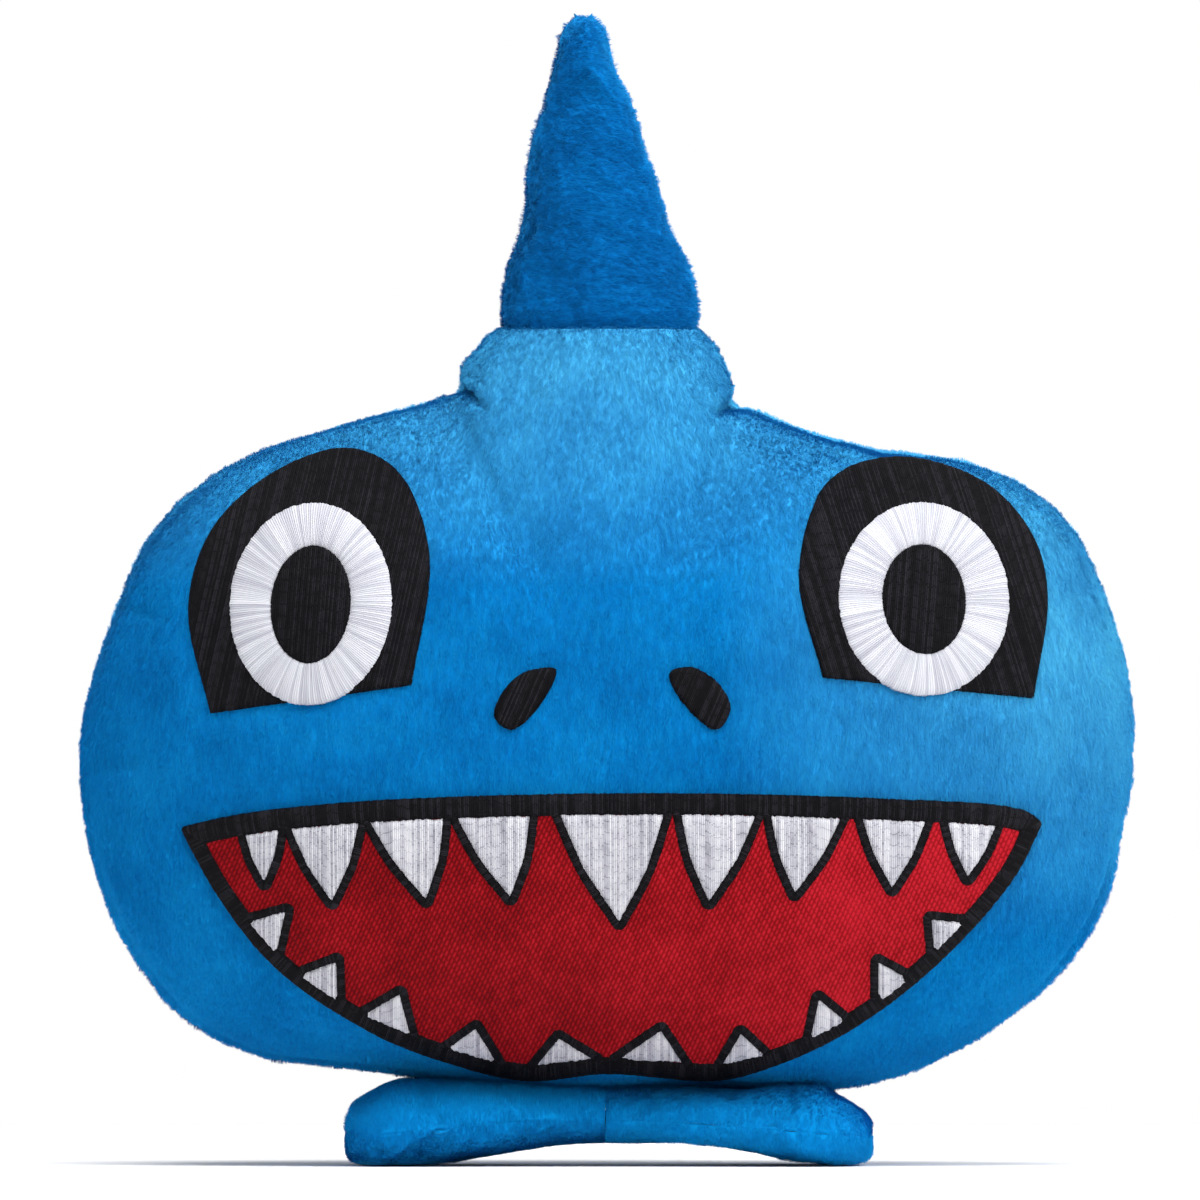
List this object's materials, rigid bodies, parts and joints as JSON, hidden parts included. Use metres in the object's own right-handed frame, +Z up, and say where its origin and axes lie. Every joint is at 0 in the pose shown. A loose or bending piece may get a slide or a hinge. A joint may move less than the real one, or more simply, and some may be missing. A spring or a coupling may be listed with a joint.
{
  "type": "plush shark",
  "caption": "Stuffed shark head with an embroidered toothy grin and ringed eyes, a dorsal fin on its crown and a two-lobed fin to stand on.",
  "frame": {"origin": "on the resting plane, under the middle of the whole toy", "axes": "+Z up, -Y the way the face looks, +X towards the toy's own left, the viewer's right"},
  "size_m": [0.2314, 0.1197, 0.2544],
  "materials": {
    "plush_blue": "short dense polyester plush, soft sheen along the nap",
    "plush_fin": "the same plush with its nap lying across, so it looks darker",
    "mouth_fabric": "woven red fabric with a fine diagonal rib",
    "black_thread": "black rayon satin stitch, glossy along the thread",
    "white_thread": "white rayon satin stitch, glossy along the thread",
    "seam_thread": "blue sewing thread",
    "stuffing": "white polyester fibre, hidden",
    "label_satin": "blank white satin ribbon"
  },
  "bodies": {
    "head": {"face_panel": "plush_blue", "back_panel_left": "plush_blue", "back_panel_right": "plush_blue", "head_stuffing": "stuffing", "closing_stitches": "seam_thread", "care_label": "label_satin", "mouth_patch": "mouth_fabric", "mouth_embroidery": "black_thread", "upper_tooth_1": "white_thread", "upper_tooth_2": "white_thread", "upper_tooth_3": "white_thread", "upper_tooth_4": "white_thread", "upper_tooth_5": "white_thread", "upper_tooth_6": "white_thread", "upper_tooth_7": "white_thread", "upper_tooth_8": "white_thread", "upper_tooth_9": "white_thread", "lower_tooth_1": "white_thread", "lower_tooth_2": "white_thread", "lower_tooth_3": "white_thread", "lower_tooth_4": "white_thread", "lower_tooth_5": "white_thread", "lower_tooth_6": "white_thread", "lower_tooth_7": "white_thread", "lower_tooth_8": "white_thread", "lower_tooth_9": "white_thread", "lower_tooth_10": "white_thread", "left_eye_surround": "black_thread", "left_eye_ring": "white_thread", "left_eye_pupil": "black_thread", "right_eye_surround": "black_thread", "right_eye_ring": "white_thread", "right_eye_pupil": "black_thread", "left_nostril": "black_thread", "right_nostril": "black_thread"},
    "dorsal_fin": {"dorsal_fin_front_panel": "plush_fin", "dorsal_fin_back_panel": "plush_fin", "dorsal_fin_stuffing": "stuffing"},
    "left_base_fin": {"left_base_fin_top_panel": "plush_blue", "left_base_fin_sole_panel": "plush_blue", "left_base_fin_stuffing": "stuffing"},
    "right_base_fin": {"right_base_fin_top_panel": "plush_blue", "right_base_fin_sole_panel": "plush_blue", "right_base_fin_stuffing": "stuffing"}
  },
  "joints": [
    {"name": "dorsal_fin_bend", "type": "hinge", "parent": "head", "child": "dorsal_fin", "pos_m": [-0.0012, 0, 0.1855], "axis": [1, 0, 0], "range_deg": [-18, 18], "stiffness_Nm_per_rad": 0.03},
    {"name": "left_base_fin_droop", "type": "hinge", "parent": "head", "child": "left_base_fin", "pos_m": [0, 0, 0.0155], "axis": [0, -1, 0], "range_deg": [0, 25], "stiffness_Nm_per_rad": 0.05},
    {"name": "right_base_fin_droop", "type": "hinge", "parent": "head", "child": "right_base_fin", "pos_m": [0, 0, 0.0155], "axis": [0, 1, 0], "range_deg": [0, 25], "stiffness_Nm_per_rad": 0.05}
  ]
}
